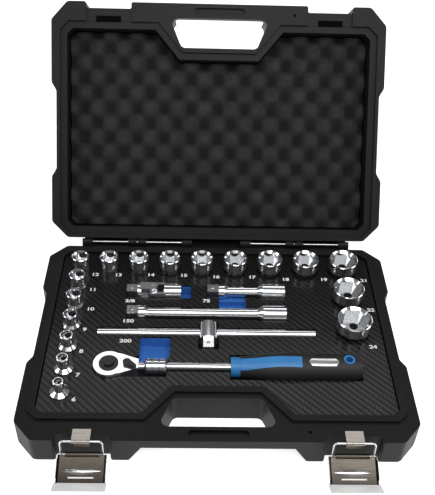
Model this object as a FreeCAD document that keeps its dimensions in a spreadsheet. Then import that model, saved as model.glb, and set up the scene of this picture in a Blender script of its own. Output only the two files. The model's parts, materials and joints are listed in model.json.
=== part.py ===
import FreeCAD, Part
import math
import os
import Sketcher

# A 3/8 inch drive socket set in its hinged plastic case, lid open and latches hanging.
# Millimetres. X runs to the right of the person opening it, Y to the hinges, Z up.
# The origin is the middle of the case's underside.

SIZES = {
    # case: plan outline with corner bumpers and sides set in between them
    "case_width": 336.0,
    "case_depth": 236.0,
    "base_height": 28.0,
    "lid_height": 37.0,
    "lid_gap": 0.3,
    "corner_front_run": 16.0,
    "corner_front_rise": 18.0,
    "corner_back_run": 16.0,
    "corner_back_rise": 16.0,
    "bumper_front": 80.0,
    "bumper_back": 62.0,
    "side_step": 4.8,
    "step_run": 8.0,
    "corner_round": 6.0,
    "notch_round": 2.0,
    "edge_round": 1.5,
    "base_floor": 6.0,
    "lid_roof": 4.0,
    # carrying handle moulded half in the base and half in the lid
    "hole_front": 14.5,
    "hole_reach": 29.0,
    "hole_front_half": 50.0,
    "hole_back_half": 38.0,
    "hole_round": 6.0,
    "bar_half_height": 9.5,
    "bar_half_width": 63.0,
    "bar_slope_run": 12.0,
    "grip_slot_half": 25.0,
    "grip_slot_front": 4.0,
    "grip_slot_width": 7.0,
    "grip_slot_depth": 3.0,
    "grip_slot_round": 3.2,
    "vent_at": 75.0,
    "vent_front": 9.8,
    "vent_radius": 1.5,
    "vent_depth": 4.0,
    # well for the tray, with a sealing ring round it
    "well_side": 15.2,
    "well_front": 25.7,
    "well_back": 11.2,
    "well_corner": 6.0,
    "well_notch_half": 40.0,
    "well_notch_rise": 29.0,
    "well_notch_angle": 50.0,
    "ring_width": 6.2,
    "ring_height": 2.5,
    "ring_clear": 0.6,
    "tray_gap": 0.8,
    "sheet_thick": 1.6,
    "foam_gap": 1.0,
    "foam_drop": 17.0,
    # hinges: steel pins through moulded knuckles
    "hinge_back": 4.2,
    "hinge_up": 2.7,
    "hinge_inset": 87.0,
    "hinge_span": 112.0,
    "knuckle_end": 10.5,
    "knuckle_mid": 8.6,
    "knuckle_gap": 1.2,
    "knuckle_radius": 3.2,
    "knuckle_web": 9.0,
    "pin_radius": 1.4,
    "pin_clear": 0.06,
    "ledge_inset": 31.5,
    "ledge_reach": 13.0,
    "ledge_low": 10.0,
    "ledge_slope": 9.0,
    "ledge_clear": 1.2,
    "ledge_edge": 3.0,
    "lid_open": 125.5,
    # toggle latches
    "latch_inset": 57.0,
    "latch_notch": 45.0,
    "latch_depth": 6.0,
    "strap_width": 15.0,
    "strap_thick": 1.0,
    "strap_reach": 10.5,
    "strap_root": 8.0,
    "strap_tail": 9.0,
    "strap_clear": 0.3,
    "wire_radius": 1.0,
    "wire_half": 17.0,
    "wire_drop": 16.0,
    "wire_lean": 5.0,
    "wire_bend": 3.0,
    "wire_end": 6.0,
    "wire_clear": 0.08,
    "lever_width": 40.0,
    "lever_thick": 0.9,
    "lever_length": 23.0,
    "lever_slope": 22.0,
    "lever_flange": 3.6,
    "lever_roll": 28.0,
    "lip_width": 43.0,
    "lip_length": 13.5,
    "lip_bend": 52.0,
    "catch_top": 11.2,
    "catch_room": 6.0,
    "catch_reach": 4.5,
    "catch_under": 2.6,
    "catch_inner": 20.0,
    # sockets
    "socket_rise": 15.0,
    "socket_length": 28.0,
    "socket_step_long": 2.0,
    "hex_clear": 0.2,
    "wall_ratio": 1.27,
    "wall_extra": 1.6,
    "drive_small": 17.0,
    "drive_base": 13.0,
    "drive_rate": 0.36,
    "mouth_length": 11.0,
    "socket_cone": 2.4,
    "socket_edge": 0.6,
    "socket_rim": 1.0,
    "dish_depth": 2.2,
    "hex_depth": 10.5,
    "drive_square": 9.53,
    "square_clear": 0.1,
    "square_depth": 11.5,
    "socket_bore": 4.0,
    "bore_share": 0.4,
    "column_inset": 33.8,
    "column_end": 48.2,
    "row_inset": 31.2,
    "right_inset": 41.805,
    "right_pitch": 40.4,
    "hole_clear": 0.5,
    # straight tools, all lying along X
    "tool_clear": 0.7,
    "square_length": 10.5,
    "female_radius": 8.0,
    "female_length": 22.0,
    "shaft_radius": 4.9,
    "shoulder_radius": 7.0,
    "shoulder_length": 6.0,
    "short_length": 75.0,
    "short_left": -9.0,
    "short_row": 54.0,
    "long_length": 150.0,
    "long_left": -84.5,
    "long_row": 24.5,
    "ball_radius": 1.6,
    "ball_proud": 0.6,
    "ball_sink": 3.6,
    "ball_bore": 5.0,
    "ball_clear": 0.05,
    "rod_length": 200.0,
    "rod_radius": 4.5,
    "rod_left": -109.5,
    "rod_row": 1.0,
    "rod_sink": 2.5,
    "slider_middle": -8.0,
    "slider_radius": 8.7,
    "slider_half": 9.5,
    "slider_clear": 0.06,
    # universal joint
    "joint_left": -86.5,
    "joint_row": 53.0,
    "joint_radius": 8.0,
    "joint_centre": 25.0,
    "joint_length": 52.0,
    "joint_arm": 3.0,
    "joint_arm_round": 4.6,
    "joint_block": 4.6,
    "joint_base": 11.0,
    "joint_pin": 2.2,
    "joint_fit": 0.05,
    # ratchet
    "ratchet_left": -95.5,
    "ratchet_row": -40.5,
    "head_radius": 13.5,
    "head_top": 4.0,
    "head_low": 8.0,
    "head_tail": 26.0,
    "head_tail_half": 5.0,
    "head_side_half": 11.0,
    "head_side_at": 10.0,
    "gear_radius": 9.0,
    "gear_clear": 0.08,
    "cover_radius": 8.6,
    "cover_seat": 1.6,
    "cover_proud": 0.6,
    "cover_gap": 0.6,
    "button_radius": 4.3,
    "button_proud": 1.8,
    "button_travel": 1.6,
    "button_depth": 3.0,
    "button_clear": 0.3,
    "selector_at": 16.0,
    "selector_round": 3.6,
    "selector_length": 9.0,
    "selector_tip": 1.4,
    "selector_thick": 2.4,
    "selector_stem": 1.9,
    "selector_turn": 31.0,
    "neck_radius": 3.9,
    "collar_start": 32.5,
    "collar_length": 17.6,
    "collar_radius": 7.0,
    "collar_groove": 0.9,
    "shaft_end": 112.0,
    "grip_start": 107.0,
    "grip_collar": 8.3,
    "grip_collar_radius": 8.8,
    "grip_length": 115.0,
    "grip_neck_radius": 9.6,
    "grip_full_radius": 13.4,
    "grip_waist_radius": 12.4,
    "grip_tail_radius": 10.4,
    "stripe_length": 54.5,
    "stripe_half": 5.0,
    "stripe_tall": 20.0,
    "stripe_shift": 3.0,
    "badge_at": 81.0,
    "badge_half_length": 13.5,
    "badge_half_width": 3.4,
    "badge_deep": 2.0,
    "eyelet_at": 103.5,
    "eyelet_outer": 4.9,
    "eyelet_inner": 3.3,
    "eyelet_drill": 60.0,
    # finger pockets beside the tools
    "pocket_depth": 13.0,
    "pocket_short_left": 2.0,
    "pocket_short_length": 25.6,
    "pocket_short_near": 30.2,
    "pocket_joint_length": 10.0,
    "pocket_ratchet_left": -69.7,
    "pocket_ratchet_length": 27.3,
    "pocket_ratchet_far": -6.0,
}
LARGE_EXTRA = {21: 1, 22: 1, 24: 2}
LEFT_COLUMN = (12, 11, 10, 9, 8, 7, 6)
BACK_ROW = (12, 13, 14, 15, 16, 17, 18, 19, 21)
RIGHT_COLUMN = (21, 22, 24)

doc = FreeCAD.newDocument("SocketSet")
sheet = doc.addObject("Spreadsheet::Sheet", "Sizes")


class Size:
    # A number that remembers the sheet cells it was worked out from.
    def __init__(self, value, text):
        self.value = float(value)
        self.text = text

    def __float__(self):
        return self.value

    def __add__(self, other):
        other = size(other)
        return Size(self.value + other.value, "(%s + %s)" % (self.text, other.text))

    def __sub__(self, other):
        other = size(other)
        return Size(self.value - other.value, "(%s - %s)" % (self.text, other.text))

    def __mul__(self, other):
        other = size(other)
        return Size(self.value * other.value, "%s * %s" % (self.text, other.text))

    def __truediv__(self, other):
        other = size(other)
        return Size(self.value / other.value, "%s / %s" % (self.text, other.text))

    def __neg__(self):
        return Size(-self.value, "(0 - %s)" % self.text)

    def __radd__(self, other):
        return size(other) + self

    def __rsub__(self, other):
        return size(other) - self

    def __rmul__(self, other):
        return size(other) * self


def size(value):
    if isinstance(value, Size):
        return value
    return Size(value, "(%r)" % float(value))


def turn(kind, angle):
    # sine, cosine or tangent of an angle in degrees
    value = getattr(math, kind)(math.radians(float(angle)))
    return Size(value, "%s(%s)" % (kind, size(angle).text))


class Names:
    pass


S = Names()
for row, (name, value) in enumerate(SIZES.items(), start=1):
    sheet.set("A%d" % row, name)
    sheet.set("B%d" % row, str(value))
    sheet.setAlias("B%d" % row, name)
    setattr(S, name, Size(value, "Sizes." + name))
doc.recompute()

deck = S.base_height
front = -S.case_depth / 2
back = S.case_depth / 2
lid_low = S.base_height + S.lid_gap
hinge_y = back + S.hinge_back
hinge_z = S.base_height + S.hinge_up
half_width = S.case_width / 2
well_half = half_width - S.well_side
hinge_middle = half_width - S.hinge_inset
ledge_half = half_width - S.ledge_inset
latch_middle = half_width - S.latch_inset
column_left = S.column_inset - half_width
column_right = half_width - S.right_inset
row_back = back - S.row_inset
subparts = {}


def bind(item, prop, value):
    item.setExpression(prop, size(value).text)


def finish(item, label):
    item.Label = label
    subparts[label] = item
    return item


def place(item, x=0, y=0, z=0):
    bind(item, "Placement.Base.x", x)
    bind(item, "Placement.Base.y", y)
    bind(item, "Placement.Base.z", z)


def tilt(item, angle):
    # turns a piece about its own X axis
    item.Placement.Rotation = FreeCAD.Rotation(FreeCAD.Vector(1, 0, 0), float(angle))
    bind(item, "Placement.Rotation.Angle", angle)
    return item


def swing(item, y, z, angle):
    # turns a piece drawn in place about the X line through (y, z)
    tilt(item, angle)
    c = turn("cos", angle)
    s = turn("sin", angle)
    bind(item, "Placement.Base.y", y - (y * c - z * s))
    bind(item, "Placement.Base.z", z - (y * s + z * c))


def new_body(name):
    return doc.addObject("PartDesign::Body", name)


def new_sketch(body, role, start):
    plane = [item for item in body.Origin.OriginFeatures if item.Role == role][0]
    sketch = body.newObject("Sketcher::SketchObject", "Sketch")
    sketch.AttachmentSupport = (plane, "")
    sketch.MapMode = "FlatFace"
    shift = -size(start) if role == "XZ_Plane" else size(start)
    bind(sketch, "AttachmentOffset.Base.z", shift)
    return sketch


def corner(sketch, line, end, point):
    for kind, value in zip(("DistanceX", "DistanceY"), point):
        value = size(value)
        index = sketch.addConstraint(Sketcher.Constraint(kind, -1, 1, line, end, value.value))
        sketch.setExpression("Constraints[%d]" % index, value.text)


def draw(sketch, shape):
    # a shape is a list of corners, or (middle x, middle y, radius) of a circle
    if isinstance(shape, tuple):
        x, y, radius = (size(value) for value in shape)
        middle = FreeCAD.Vector(x.value, y.value, 0)
        circle = Part.Circle(middle, FreeCAD.Vector(0, 0, 1), radius.value)
        line = sketch.addGeometry(circle, False)
        corner(sketch, line, 3, (x, y))
        index = sketch.addConstraint(Sketcher.Constraint("Radius", line, radius.value))
        sketch.setExpression("Constraints[%d]" % index, radius.text)
        return
    spots = [FreeCAD.Vector(float(x), float(y), 0) for x, y in shape]
    first = None
    for a, b in zip(spots, spots[1:] + spots[:1]):
        line = sketch.addGeometry(Part.LineSegment(a, b), False)
        first = line if first is None else first
    count = len(spots)
    for i in range(count):
        j = first + (i + 1) % count
        sketch.addConstraint(Sketcher.Constraint("Coincident", first + i, 2, j, 1))
    for i in range(count):
        corner(sketch, first + i, 1, shape[i])


def pad(body, role, shapes, start, length):
    # adds material from start onwards along the plane's own axis
    sketch = new_sketch(body, role, start)
    for shape in shapes:
        draw(sketch, shape)
    item = body.newObject("PartDesign::Pad", "Pad")
    item.Profile = sketch
    item.Reversed = role == "XZ_Plane"
    bind(item, "Length", length)
    return item


def pocket(body, role, shapes, start, length):
    # takes material away from start onwards along the plane's own axis
    sketch = new_sketch(body, role, start)
    for shape in shapes:
        draw(sketch, shape)
    item = body.newObject("PartDesign::Pocket", "Pocket")
    item.Profile = sketch
    item.Reversed = role != "XZ_Plane"
    bind(item, "Length", length)
    return item


def revolve(body, role, shape, axis):
    sketch = new_sketch(body, role, 0)
    draw(sketch, shape)
    item = body.newObject("PartDesign::Revolution", "Revolution")
    item.Profile = sketch
    item.ReferenceAxis = (sketch, [axis])
    item.Angle = 360.0
    return item


def soften(body, choose, radius):
    # rounds the edges that choose picks
    doc.recompute()
    tip = body.Tip
    edges = enumerate(tip.Shape.Edges, start=1)
    names = ["Edge%d" % index for index, edge in edges if choose(edge.BoundBox)]
    item = body.newObject("PartDesign::Fillet", "Fillet")
    item.Base = (tip, names)
    bind(item, "Radius", radius)
    return item


def upright(box):
    return box.XLength < 0.01 and box.YLength < 0.01 and box.ZLength > 0.5


def in_notch(box):
    # edges of the two latch notches in the front wall
    near = float(latch_middle - S.latch_notch / 2) - 1
    far = float(latch_middle + S.latch_notch / 2) + 1
    return near < abs(box.Center.x) < far and box.YMax < float(front + S.latch_depth) + 1


def in_hole(box):
    # edges of the gap behind the handle
    low = float(front + S.hole_front) - 0.1
    high = float(front + S.hole_front + S.hole_reach) + 0.1
    return abs(box.Center.x) < float(S.hole_front_half) + 0.1 and low < box.YMin and box.YMax < high


def in_grip_slot(box):
    # edges of the recess along the top of the handle
    return abs(box.Center.x) < float(S.grip_slot_half) + 0.1 and box.YMax < float(front + S.hole_front)


def rectangle(x0, x1, y0, y1):
    return [(x0, y0), (x1, y0), (x1, y1), (x0, y1)]


def mirrored(half):
    # a right-hand outline, front to back, and the same on the left
    return half + [(-x, y) for x, y in reversed(half)]


def primitive(kind, **values):
    item = doc.addObject("Part::" + kind, kind)
    for prop, value in values.items():
        bind(item, prop, value)
    return item


def joined(items):
    item = doc.addObject("Part::MultiFuse", "Fusion")
    item.Shapes = items
    return item


def cut(base, tool):
    item = doc.addObject("Part::Cut", "Cut")
    item.Base = base
    item.Tool = tool
    return item


def common(base, tool):
    item = doc.addObject("Part::Common", "Common")
    item.Base = base
    item.Tool = tool
    return item


def case_outline():
    half = S.case_width / 2
    inner = half - S.side_step
    near = latch_middle - S.latch_notch / 2
    far = latch_middle + S.latch_notch / 2
    return mirrored([
        (near, front),
        (near, front + S.latch_depth),
        (far, front + S.latch_depth),
        (far, front),
        (half - S.corner_front_run, front),
        (half, front + S.corner_front_rise),
        (half, front + S.bumper_front),
        (inner, front + S.bumper_front + S.step_run),
        (inner, back - S.bumper_back - S.step_run),
        (half, back - S.bumper_back),
        (half, back - S.corner_back_rise),
        (half - S.corner_back_run, back),
    ])


def well_outline(grow):
    # the tray's well, stepped in at the front round the handle, grown evenly by grow
    slope = S.well_notch_rise / turn("tan", S.well_notch_angle)
    lean = size(grow) * turn("tan", S.well_notch_angle / 2)
    bevel = size(grow) * turn("tan", 22.5)
    half = well_half + grow
    low = front + S.well_front - grow
    high = back - S.well_back + grow
    return mirrored([
        (S.well_notch_half - lean, front + S.well_front + S.well_notch_rise - grow),
        (S.well_notch_half + slope - lean, low),
        (half - S.well_corner - bevel, low),
        (half, low + S.well_corner + bevel),
        (half, high - S.well_corner - bevel),
        (half - S.well_corner - bevel, high),
    ])


def handle_hole():
    near = front + S.hole_front
    return mirrored([
        (S.hole_front_half, near),
        (S.hole_back_half, near + S.hole_reach),
    ])


def grip_slot():
    low = front + S.grip_slot_front
    return rectangle(-S.grip_slot_half, S.grip_slot_half, low, low + S.grip_slot_width)


def knuckles(ends):
    # (start, length) along X of the knuckles of one half of the case, on both hinges
    half = S.hinge_span / 2
    if ends:
        spans = [(-half, S.knuckle_end), (half - S.knuckle_end, S.knuckle_end)]
    else:
        long = S.knuckle_mid
        spans = [(-S.knuckle_gap / 2 - long, long), (S.knuckle_gap / 2, long)]
    right = [(hinge_middle + start, length) for start, length in spans]
    return right + [(-start - length, length) for start, length in right]


def add_knuckles(body, ends, rise):
    # each knuckle is an eye with a web running down, or up, the back wall
    eye = (hinge_y, hinge_z, S.knuckle_radius)
    wall = back + S.lid_gap
    root = [(back - 1, hinge_z)]
    if rise < 0:
        root = [(wall, hinge_z), (wall, deck), (back - 1, deck)]
    web = root + [
        (back - 1, hinge_z + rise * S.knuckle_web),
        (back + 0.4, hinge_z + rise * S.knuckle_web),
        (hinge_y + S.knuckle_radius * 0.9, hinge_z),
    ]
    for start, length in knuckles(ends):
        pad(body, "YZ_Plane", [eye], start, length)
        pad(body, "YZ_Plane", [web], start, length)
    bore = (hinge_y, hinge_z, S.pin_radius + S.pin_clear)
    pocket(body, "YZ_Plane", [bore], -S.case_width / 2, S.case_width)


def hinge_ledge(body):
    # shelf along the back wall under the hinge pins, sloped underneath
    top = hinge_z - S.knuckle_radius - S.ledge_clear
    reach = back + S.ledge_reach
    shelf = [
        (back - 1, S.ledge_low),
        (reach - S.ledge_slope, S.ledge_low),
        (reach, top - S.ledge_edge),
        (reach, top),
        (back - 1, top),
    ]
    pad(body, "YZ_Plane", [shelf], -ledge_half, 2 * ledge_half)


def base_shell():
    body = new_body("BaseShell")
    pad(body, "XY_Plane", [case_outline()], 0, S.base_height)
    soften(body, lambda box: upright(box) and not in_notch(box), S.corner_round)
    soften(body, lambda box: upright(box) and in_notch(box), S.notch_round)
    soften(body, lambda box: box.ZMax < 0.01, S.edge_round)
    pad(body, "XY_Plane", [well_outline(S.ring_width)], deck, S.ring_height)
    pocket(body, "XY_Plane", [well_outline(0)], S.base_floor, S.base_height)
    pocket(body, "XY_Plane", [handle_hole()], -1, S.base_height + 2)
    soften(body, lambda box: upright(box) and in_hole(box), S.hole_round)
    low = S.bar_half_width + S.bar_slope_run
    scoop = [
        (-low, -1),
        (low, -1),
        (S.bar_half_width, S.base_height - S.bar_half_height),
        (-S.bar_half_width, S.base_height - S.bar_half_height),
    ]
    pocket(body, "XZ_Plane", [scoop], front - 1, S.hole_front + 2)
    pocket(body, "XY_Plane", [grip_slot()], deck - S.grip_slot_depth, S.grip_slot_depth + 1)
    soften(body, lambda box: upright(box) and in_grip_slot(box), S.grip_slot_round)
    vent = (S.vent_at, front + S.vent_front, S.vent_radius)
    pocket(body, "XY_Plane", [vent], deck - S.vent_depth, S.vent_depth + 1)
    for side in (-1, 1):
        middle = side * latch_middle
        half = S.strap_width / 2 + S.strap_clear
        near = front + S.strap_reach - S.strap_thick - S.strap_clear
        far = near + S.strap_thick + 2 * S.strap_clear
        slit = rectangle(middle - half, middle + half, near, far)
        pocket(body, "XY_Plane", [slit], deck - S.strap_root - 1, S.strap_root + 2)
    hinge_ledge(body)
    add_knuckles(body, True, -1)
    finish(body, "base_shell")


def lid_shell():
    # drawn shut, then swung open about the hinge pins
    body = new_body("LidShell")
    pad(body, "XY_Plane", [case_outline()], lid_low, S.lid_height)
    soften(body, lambda box: upright(box) and not in_notch(box), S.corner_round)
    soften(body, lambda box: upright(box) and in_notch(box), S.notch_round)
    top = lid_low + S.lid_height
    soften(body, lambda box: box.ZMin > float(top) - 0.01, S.edge_round)
    ring = S.ring_width + S.ring_clear
    pocket(body, "XY_Plane", [well_outline(ring)], lid_low - 1, S.ring_height + S.ring_clear + 1)
    pocket(body, "XY_Plane", [well_outline(0)], lid_low - 1, S.lid_height - S.lid_roof + 1)
    pocket(body, "XY_Plane", [handle_hole()], lid_low - 1, S.lid_height + 2)
    soften(body, lambda box: upright(box) and in_hole(box), S.hole_round)
    high = S.bar_half_width + S.bar_slope_run
    scoop = [
        (-S.bar_half_width, lid_low + S.bar_half_height),
        (S.bar_half_width, lid_low + S.bar_half_height),
        (high, top + 1),
        (-high, top + 1),
    ]
    pocket(body, "XZ_Plane", [scoop], front - 1, S.hole_front + 2)
    pocket(body, "XY_Plane", [grip_slot()], lid_low - 1, S.grip_slot_depth + 1)
    soften(body, lambda box: upright(box) and in_grip_slot(box), S.grip_slot_round)
    vent = (S.vent_at, front + S.vent_front, S.vent_radius)
    pocket(body, "XY_Plane", [vent], lid_low - 1, S.vent_depth + 1)
    for side in (-1, 1):
        x0 = side * latch_middle - S.latch_notch / 2
        x1 = side * latch_middle + S.latch_notch / 2
        under = rectangle(x0, x1, front, front + S.catch_inner)
        pocket(body, "XY_Plane", [under], lid_low - 1, S.catch_under + 1)
        groove = rectangle(x0, x1, front, front + S.latch_depth + S.catch_reach)
        pocket(body, "XY_Plane", [groove], lid_low + S.catch_top, S.catch_room)
    add_knuckles(body, False, 1)
    swing(body, hinge_y, hinge_z, -S.lid_open)
    finish(body, "lid_shell")


def lid_foam():
    body = new_body("LidFoam")
    roof = lid_low + S.lid_height - S.lid_roof
    low = lid_low + S.foam_drop
    pad(body, "XY_Plane", [well_outline(-S.foam_gap)], low, roof - low)
    swing(body, hinge_y, hinge_z, -S.lid_open)
    finish(body, "lid_foam")


def hinge_pins():
    for name, side in (("left", -1), ("right", 1)):
        pin = primitive("Cylinder", Radius=S.pin_radius, Height=S.hinge_span)
        pin.Placement.Rotation = FreeCAD.Rotation(FreeCAD.Vector(0, 1, 0), 90)
        place(pin, side * hinge_middle - S.hinge_span / 2, hinge_y, hinge_z)
        finish(pin, "hinge_pin_" + name)


def mouth_width(number):
    return number * S.wall_ratio + S.wall_extra


def drive_width(number):
    return S.drive_small if number <= 12 else S.drive_base + number * S.drive_rate


def socket_length(number):
    return S.socket_length + LARGE_EXTRA.get(number, 0) * S.socket_step_long


def socket_spots():
    spots = {}
    pitch = (row_back - front - S.column_end) / (len(LEFT_COLUMN) - 1)
    for step, number in enumerate(LEFT_COLUMN):
        spots[number] = (column_left, row_back - step * pitch)
    x = column_left
    for last, number in zip(BACK_ROW, BACK_ROW[1:]):
        x = x + mouth_width(last) / 2 + mouth_width(number) / 2
        spots[number] = (x, row_back)
    # the sockets of the back row stand the same gap apart
    gap = (column_right - x) / (len(BACK_ROW) - 1)
    for step, number in enumerate(BACK_ROW[1:], start=1):
        spots[number] = (spots[number][0] + step * gap, row_back)
    for step, number in enumerate(RIGHT_COLUMN[1:], start=1):
        spots[number] = (column_right, row_back - step * S.right_pitch)
    return spots


def hexagon(flats):
    # corners on X
    radius = flats / turn("cos", 30) / 2
    return [(radius * turn("cos", 60 * i), radius * turn("sin", 60 * i)) for i in range(6)]


def square(width, x=0, y=0):
    half = width / 2
    return rectangle(x - half, x + half, y - half, y + half)


def socket(number, spot):
    body = new_body("Socket")
    drive = drive_width(number) / 2
    mouth = mouth_width(number) / 2
    length = socket_length(number)
    flats = number + S.hex_clear
    edge = S.socket_edge
    shoulder = length - S.mouth_length
    # turned outside, with a dished lead-in to the hexagon
    profile = [
        (0, 0),
        (drive - edge, 0),
        (drive, edge),
        (drive, shoulder - S.socket_cone),
        (mouth, shoulder),
        (mouth, length - edge),
        (mouth - edge, length),
        (mouth - S.socket_rim, length),
        (flats / 2, length - S.dish_depth),
        (0, length - S.dish_depth),
    ]
    revolve(body, "XZ_Plane", profile, "V_Axis")
    pocket(body, "XY_Plane", [hexagon(flats)], length - S.hex_depth, S.hex_depth + 1)
    pocket(body, "XY_Plane", [square(S.drive_square + S.square_clear)], -1, S.square_depth + 1)
    bore = S.socket_bore if number > 9 else flats * S.bore_share
    pocket(body, "XY_Plane", [(0, 0, bore)], -1, length + 2)
    place(body, spot[0], spot[1], deck + S.socket_rise - length)
    finish(body, "socket_%02d" % number)


def long_slot(x0, x1, row, half):
    return rectangle(x0, x1, row - half, row + half)


def cut_outs():
    # (outline, depth below the deck) of every pocket in the tray
    spots = socket_spots()
    cuts = []
    for number, (x, y) in spots.items():
        hole = (x, y, drive_width(number) / 2 + S.hole_clear)
        cuts.append((hole, socket_length(number) - S.socket_rise))
    clear = S.tool_clear
    wide = S.female_radius + clear
    slim = S.shoulder_radius + clear
    for left, length, row in (
        (S.short_left, S.short_length, S.short_row),
        (S.long_left, S.long_length, S.long_row),
    ):
        right = left + length + clear
        split = left + length - S.female_length - 6
        cuts.append((long_slot(split, right, row, wide), S.female_radius))
        cuts.append((long_slot(left - clear, split + 1, row, slim), S.shoulder_radius))
    joint_right = S.joint_left + S.joint_length
    row = S.joint_row
    half = S.joint_radius + clear
    finger_end = joint_right + S.pocket_joint_length
    cuts.append((long_slot(S.joint_left - clear, joint_right + clear, row, half), S.joint_radius))
    cuts.append((long_slot(joint_right, finger_end, row, half), S.pocket_depth))
    left = S.pocket_short_left
    finger_end = left + S.pocket_short_length
    finger = rectangle(left, finger_end, S.pocket_short_near, S.short_row - slim + 1)
    cuts.append((finger, S.pocket_depth))
    row = S.rod_row
    half = S.rod_radius + clear
    rod_right = S.rod_left + S.rod_length
    cuts.append((long_slot(S.rod_left - clear, rod_right + clear, row, half), S.rod_radius + S.rod_sink))
    half = S.slider_radius + clear
    near = row - S.slider_half - S.square_length - clear
    far = row + S.slider_half + clear
    slider = rectangle(S.slider_middle - half, S.slider_middle + half, near, far)
    cuts.append((slider, S.slider_radius + S.rod_sink))
    x = S.ratchet_left
    row = S.ratchet_row
    cuts.append(((x, row, S.head_radius + clear), S.head_low))
    tail = S.head_side_half + clear
    end = x + S.collar_start + S.collar_length + clear
    cuts.append((long_slot(x, end, row, tail), S.head_low))
    cuts.append((long_slot(end - 1, x + S.grip_start, row, S.shaft_radius + clear), S.shaft_radius))
    grip_end = x + S.grip_start + S.grip_length + clear
    half = S.grip_full_radius + clear
    cuts.append((long_slot(x + S.grip_start - clear, grip_end, row, half), half))
    left = S.pocket_ratchet_left
    finger = rectangle(left, left + S.pocket_ratchet_length, row + tail - 1, S.pocket_ratchet_far)
    cuts.append((finger, S.pocket_depth))
    return cuts


def tray():
    foam = new_body("TrayFoam")
    foam_top = deck - S.sheet_thick
    pad(foam, "XY_Plane", [well_outline(-S.tray_gap)], S.base_floor, foam_top - S.base_floor)
    sheet_body = new_body("TraySheet")
    pad(sheet_body, "XY_Plane", [well_outline(-S.tray_gap)], foam_top, S.sheet_thick)
    for shape, depth in cut_outs():
        pocket(foam, "XY_Plane", [shape], deck - depth, depth + 1)
        pocket(sheet_body, "XY_Plane", [shape], foam_top - 1, S.sheet_thick + 2)
    turning = (S.ratchet_left, S.ratchet_row, S.drive_square * 0.9)
    reach = S.head_low + S.square_length + 1
    pocket(foam, "XY_Plane", [turning], deck - reach, reach)
    finish(foam, "tray_foam")
    finish(sheet_body, "tray_sheet")


def drive_ball(label, x, y, z):
    ball = primitive("Sphere", Radius=S.ball_radius)
    place(ball, x, y, z)
    finish(ball, label)


def extension(label, length, left, row):
    # male square at the left end, female square at the right
    body = new_body("Extension")
    start = S.square_length
    mid = length - S.female_length
    edge = S.socket_edge
    profile = [
        (start, 0),
        (start, S.shoulder_radius - edge),
        (start + edge, S.shoulder_radius),
        (start + S.shoulder_length, S.shoulder_radius),
        (start + S.shoulder_length + 3, S.shaft_radius),
        (mid - 5, S.shaft_radius),
        (mid, S.female_radius),
        (length - edge, S.female_radius),
        (length, S.female_radius - edge),
        (length, 0),
    ]
    revolve(body, "XZ_Plane", profile, "H_Axis")
    pad(body, "YZ_Plane", [square(S.drive_square)], 0, start + 1)
    female = square(S.drive_square + S.square_clear)
    pocket(body, "YZ_Plane", [female], length - S.square_depth, S.square_depth + 1)
    at = start / 2
    pocket(body, "XY_Plane", [(at, 0, S.ball_radius + S.ball_clear)], S.drive_square / 2 - S.ball_sink, S.ball_bore)
    place(body, left, row, deck)
    finish(body, label)
    high = deck + S.drive_square / 2 + S.ball_proud - S.ball_radius
    drive_ball(label + "_ball", left + at, row, high)


def tee_bar():
    rod = primitive("Cylinder", Radius=S.rod_radius, Height=S.rod_length)
    rod.Placement.Rotation = FreeCAD.Rotation(FreeCAD.Vector(0, 1, 0), 90)
    height = deck - S.rod_sink
    place(rod, S.rod_left, S.rod_row, height)
    finish(rod, "tbar_rod")
    body = new_body("Slider")
    half = S.slider_half
    pad(body, "XZ_Plane", [(0, 0, S.slider_radius)], -half, 2 * half)
    pad(body, "XZ_Plane", [square(S.drive_square)], -half - S.square_length, S.square_length + 1)
    bore = (0, 0, S.rod_radius + S.slider_clear)
    pocket(body, "YZ_Plane", [bore], -S.slider_radius - 1, 2 * S.slider_radius + 2)
    at = -half - S.square_length / 2
    pocket(body, "XY_Plane", [(0, at, S.ball_radius + S.ball_clear)], S.drive_square / 2 - S.ball_sink, S.ball_bore)
    place(body, S.slider_middle, S.rod_row, height)
    finish(body, "tbar_slider")
    high = height + S.drive_square / 2 + S.ball_proud - S.ball_radius
    drive_ball("tbar_ball", S.slider_middle, S.rod_row + at, high)


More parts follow.
